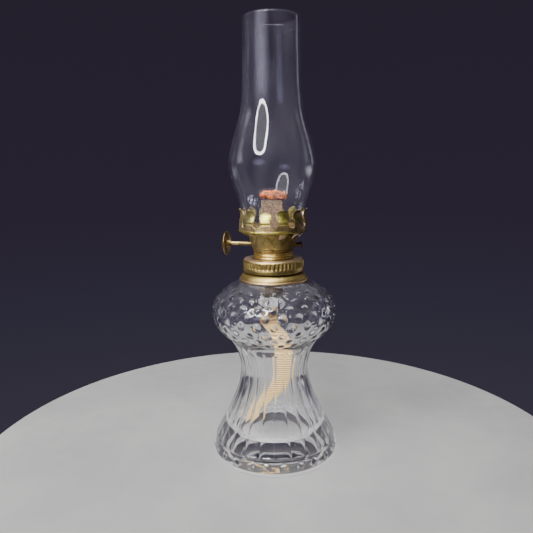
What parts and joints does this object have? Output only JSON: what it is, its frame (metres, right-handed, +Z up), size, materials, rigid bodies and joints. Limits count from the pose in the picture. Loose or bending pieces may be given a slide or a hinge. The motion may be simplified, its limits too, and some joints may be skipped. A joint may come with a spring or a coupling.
{
  "type": "oil lamp",
  "caption": "Small flat-wick oil lamp: hobnailed clear-glass font on a fluted foot, brass burner with thumb winder and petal gallery, clear bulged chimney.",
  "frame": {"origin": "centre of the foot's resting face", "axes": "+Z up along the lamp; -Y is the side that the picture shows; the winder points to -X, turned 14 degrees towards +Y"},
  "size_m": [0.0614, 0.0614, 0.203],
  "materials": {
    "font_glass": "clear pressed glass, smooth",
    "chimney_glass": "clear thin blown glass",
    "cement": "matt plaster",
    "collar_brass": "aged, pinkish copper edge",
    "burner_brass": "aged, worn bright on the edges",
    "gallery_brass": "heat-tarnished stamped sheet",
    "winder_brass": "aged",
    "inner_brass": "dull, dark",
    "tube_brass": "sooted and heat-mottled",
    "wick_cotton": "flat woven cotton",
    "burnt_wick": "rough burnt crust"
  },
  "bodies": {
    "font": {"glass_font": "font_glass", "collar_cement": "cement", "collar": "collar_brass"},
    "burner": {"base_plate": "inner_brass", "burner_neck": "burner_brass", "burner_bowl": "burner_brass", "air_plate": "inner_brass", "wick_tube": "tube_brass", "vent_tube": "inner_brass", "spur_housing": "inner_brass", "gallery": "gallery_brass"},
    "screw_ring": {"screw_ring": "burner_brass"},
    "winder": {"winder_shaft": "winder_brass", "left_spur_wheel": "inner_brass", "right_spur_wheel": "inner_brass", "shaft_retainer": "winder_brass", "winder_knob": "winder_brass"},
    "wick": {"wick": "wick_cotton", "charred_wick_end": "burnt_wick"},
    "chimney": {"chimney": "chimney_glass"}
  },
  "joints": [
    {"name": "burner_lift", "type": "slide", "parent": "font", "child": "burner", "axis": [0, 0, 1], "range_m": [0, 0.085]},
    {"name": "screw_ring_turn", "type": "hinge", "parent": "burner", "child": "screw_ring", "pos_m": [0, 0, 0.0925], "axis": [0, 0, 1], "range_deg": [0, 720]},
    {"name": "winder_turn", "type": "hinge", "parent": "burner", "child": "winder", "pos_m": [-0.02043, 0.00901, 0.1016], "axis": [-0.9703, 0.2419, 0], "range_deg": [0, 170]},
    {"name": "wick_raise", "type": "slide", "parent": "burner", "child": "wick", "axis": [0, 0, 1], "range_m": [0, 0.008]},
    {"name": "chimney_lift", "type": "slide", "parent": "burner", "child": "chimney", "axis": [0, 0, 1], "range_m": [0, 0.04]}
  ],
  "couplings": [
    {"joint": "winder_turn", "follows": "wick_raise", "rad_per_m": 370.37}
  ]
}
